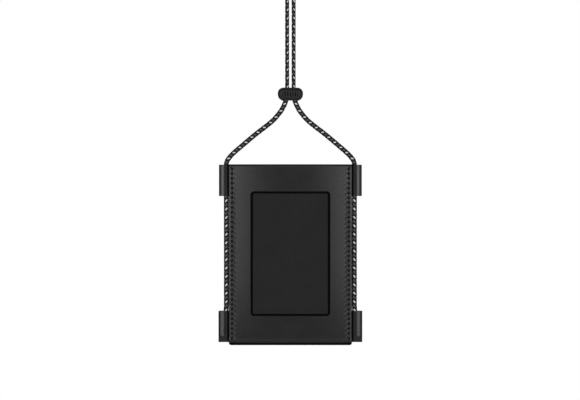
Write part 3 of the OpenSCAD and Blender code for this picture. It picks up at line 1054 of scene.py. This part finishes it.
class WALLET_OT_add_loops(bpy.types.Operator):
    """Bend the four leather loops round the cord, with their tails in the seams"""

    bl_idname = "wallet.add_loops"
    bl_label = "Side loops"
    bl_options = {"REGISTER", "UNDO"}

    def execute(self, context):
        loops, pouch = context.scene.wallet_loops, context.scene.wallet_pouch
        leather = leather_material("loop_leather", pouch.leather, 0.34)
        paint = paint_and_shade_material("loop_paint_and_shade", pouch.leather)
        for level, section, low, high in (
                ("upper", UPPER_SECTION, upper_low.z, upper_high.z),
                ("lower", LOWER_SECTION, lower_low.z, lower_high.z)):
            for word, side in SIDES:
                loop = sew_loop(f"{level}_{word}_strip", section, low, high, side, loops)
                places = points_of(loop)
                out = np.abs(places[:, 0]) - shell_high.x
                gap = np.minimum(places[:, 2] - low, high - places[:, 2])
                # The dark paint covers the strip's cut ends as edge paint, and as painted shade the
                # crevice where it dives into the seam and, on the upper loops, the outer fold that
                # turns away from the lights.
                crevice_shade_wide, fold_shade_wide = 2, 3
                gap = np.minimum(gap, (out - loops.crevice) / crevice_shade_wide)
                if level == "upper":
                    gap = np.minimum(gap, (section[-1][0] - out) / fold_shade_wide)
                edge_mm = np.maximum(gap, 0) / MM
                store(loop, "edge_mm", edge_mm)
                smooth_by_angle(loop, 50)
                finished(loop, "pouch", "leather", leather, f"{level}_{word}_loop")
                paint_edges(loop, paint, edge_mm < PAINT_AND_SHADE_MM)
        return {"FINISHED"}


# The thread

def twisted_stitch(stitches, side):
    """One stitch of two-ply thread that dips into the holes at both its ends."""
    length = stitches.pitch / math.cos(stitches.slant)
    deselect()
    bpy.ops.mesh.primitive_cylinder_add(
        vertices=12, radius=stitches.thread_d / 2, depth=length, end_fill_type="NGON")
    stitch = named("stitch")
    edit_selected(stitch, "EDGE", lambda edge: span(edge, 2) > stitches.thread_d,
                  lambda: bpy.ops.mesh.subdivide(number_cuts=9))
    x, y, z = points_of(stitch).T
    share = 2 * z / length
    angle = np.arctan2(y, x)
    ply = 1 + 0.12 * np.cos(2 * (angle - 2.2 * share))
    deepest = 0.75 * MM
    dip = deepest * np.abs(share) ** 5
    narrow = 1 - 0.25 * np.abs(share) ** 4
    places = np.stack([x * ply * narrow, y * ply * narrow + dip, z], axis=1)
    tilt = side * stitches.slant
    turned = places.copy()
    turned[:, 0] = places[:, 0] * math.cos(tilt) + places[:, 2] * math.sin(tilt)
    turned[:, 2] = places[:, 2] * math.cos(tilt) - places[:, 0] * math.sin(tilt)
    move_points(stitch, turned)
    return stitch


class WALLET_OT_add_threads(bpy.types.Operator):
    """Saddle-stitch both side seams"""

    bl_idname = "wallet.add_threads"
    bl_label = "Seam threads"
    bl_options = {"REGISTER", "UNDO"}

    def execute(self, context):
        pouch, stitches = context.scene.wallet_pouch, context.scene.wallet_stitches
        material = thread_material(stitches.colour)
        sunk = 0.2 * MM
        surface = seam_out(pouch) - sunk
        for word, side in SIDES:
            rows = []
            for face in (-1, 1):
                row = twisted_stitch(stitches, side)
                places = points_of(row)
                if face > 0:
                    places[:, :2] *= -1
                places += [side * (shell_high.x - stitches.inset), face * surface,
                           shell_high.z - stitches.first - stitches.pitch / 2]
                move_points(row, places)
                apply_modifier(row, "ARRAY", count=stitches.count - 1, use_relative_offset=False,
                               use_constant_offset=True,
                               constant_offset_displace=(0, 0, -stitches.pitch))
                rows.append(row)
            thread = joined(rows)
            thread.name = thread.data.name = f"{word}_seam_thread"
            smooth_by_angle(thread, 60)
            finished(thread, "pouch", "thread", material, f"{word}_stitching")
        return {"FINISHED"}


# The knots inside the lower loops

class WALLET_OT_add_knots(bpy.types.Operator):
    """Tie the end of the cord inside each lower loop"""

    bl_idname = "wallet.add_knots"
    bl_label = "End knots"
    bl_options = {"REGISTER", "UNDO"}

    def execute(self, context):
        settings = context.scene.wallet_cord
        material = braid_material("knotted_cord", settings)
        fill = 0.88
        reach = fill * (knot_high.x - knot_low.x) / 2
        tall = knot_high.z - knot_low.z
        middle = (knot_low + knot_high) / 2
        for word, side in SIDES:
            knot = tied_knot(f"{word}_knot", reach, tall)
            places = points_of(knot)
            move_points(knot, places * [side, 1, 1] + [side * middle.x, 0, middle.z])
            if side < 0:
                turn_outwards(knot, lambda place: place - Vector((-middle.x, 0, middle.z)))
            smooth_by_angle(knot, 60)
            finished(knot, "pouch", "braid", material, f"{word}_cord_knot")
        return {"FINISHED"}


def tied_knot(name, reach, tall):
    """The cord's end wound three times round itself and pulled tight."""
    wraps, around, steps = 3, 64, 72
    fullness, ridge_share = 0.35, 0.20
    turn = np.arange(around)[None, :] / around
    share = np.linspace(0, 1, steps + 1)[1:-1, None]
    outline = np.sin(math.pi * share) ** fullness
    ridge = np.abs(np.sin(math.pi * (wraps * share + turn)))
    radius = reach * outline * (1 - ridge_share + ridge_share * ridge)
    angle = math.tau * turn
    rings = np.stack([radius * np.cos(angle), radius * np.sin(angle),
                      (share - 0.5) * tall + 0 * angle], axis=2)
    count = steps - 1
    wound = np.arange(count) / count * wraps / 2
    return braided_tube(name, rings, np.zeros(count), wound, lean=0.5)


# The stage

def softbox(name, place, target, wide, tall, power):
    data = bpy.data.lights.new(name, "AREA")
    data.shape = "RECTANGLE"
    data.size, data.size_y, data.energy = wide, tall, power
    light = bpy.data.objects.new(name, data)
    light.location = place
    light.rotation_euler = (Vector(target) - Vector(place)).to_track_quat("-Z", "Y").to_euler()
    light.visible_camera = False
    bpy.context.collection.objects.link(light)


class WALLET_OT_add_stage(bpy.types.Operator):
    """Set up the camera, the pale floor and the studio lights"""

    bl_idname = "wallet.add_stage"
    bl_label = "Camera, floor and lights"
    bl_options = {"REGISTER", "UNDO"}

    def execute(self, context):
        stage = context.scene.wallet_stage
        data = bpy.data.cameras.new("camera")
        data.lens, data.sensor_width = stage.lens, 36
        camera = bpy.data.objects.new("camera", data)
        camera.location = Vector(stage.aim) - Vector((0, stage.distance, 0))
        camera.rotation_euler = (math.pi / 2, 0, 0)
        context.collection.objects.link(camera)
        context.scene.camera = camera
        deselect()
        bpy.ops.mesh.primitive_circle_add(
            vertices=96, radius=1.2, fill_type="NGON", location=(0, 0, stage.floor_z))
        floor = named("floor")
        settle(floor)
        floor.data.materials.append(floor_material())
        target = (0, 0, -0.25)
        side_x, side_y = 0.85, -1.0
        for word, side in SIDES:
            softbox(f"{word}_softbox", (side * side_x, side_y, 0), target, 0.7, 0.9,
                    stage.side_power)
        softbox("back_softbox", (0, 1.4, 0.1), target, 1.2, 1.0, stage.back_power)
        self.light_the_world(context.scene, stage.ambient)
        context.scene.view_settings.view_transform = "Standard"
        return {"FINISHED"}

    def light_the_world(self, scene, ambient):
        scene.world = scene.world or bpy.data.worlds.new("studio")
        scene.world.use_nodes = True
        tree = scene.world.node_tree
        tree.nodes.clear()
        seen = add_node(tree, "ShaderNodeBackground", {"Color": (1, 1, 1, 1), "Strength": 1.0})
        around = add_node(tree, "ShaderNodeBackground",
                          {"Color": (1, 1, 1, 1), "Strength": ambient})
        to_camera = add_node(tree, "ShaderNodeLightPath").outputs["Is Camera Ray"]
        both = add_node(tree, "ShaderNodeMixShader",
                        {0: to_camera, 1: around.outputs[0], 2: seen.outputs[0]})
        add_node(tree, "ShaderNodeOutputWorld", {0: both.outputs[0]})


# The order of making: the stage and the cord come first
OPERATORS = (
    WALLET_OT_add_stage,
    WALLET_OT_add_cord,
    WALLET_OT_add_bead,
    WALLET_OT_add_shell,
    WALLET_OT_add_divider,
    WALLET_OT_add_loops,
    WALLET_OT_add_threads,
    WALLET_OT_add_knots,
)


class VIEW3D_PT_wallet(bpy.types.Panel):
    """Lists the wallet's pieces in the sidebar"""

    bl_label = "Neck pouch wallet"
    bl_space_type = "VIEW_3D"
    bl_region_type = "UI"
    bl_category = "Wallet"

    def draw(self, context):
        for operator in OPERATORS:
            self.layout.operator(operator.bl_idname)
        for name in SETTINGS:
            box = self.layout.box()
            group = getattr(context.scene, name)
            for key in group.__annotations__:
                box.prop(group, key)


def register():
    for made in (*SETTINGS.values(), *OPERATORS, VIEW3D_PT_wallet):
        bpy.utils.register_class(made)
    for name, group in SETTINGS.items():
        setattr(bpy.types.Scene, name, PointerProperty(type=group))


def unregister():
    for name in SETTINGS:
        delattr(bpy.types.Scene, name)
    for made in reversed((*SETTINGS.values(), *OPERATORS, VIEW3D_PT_wallet)):
        bpy.utils.unregister_class(made)


def main():
    register()
    for operator in OPERATORS:
        group, call = operator.bl_idname.split(".")
        getattr(getattr(bpy.ops, group), call)()


if __name__ == "__main__":
    main()
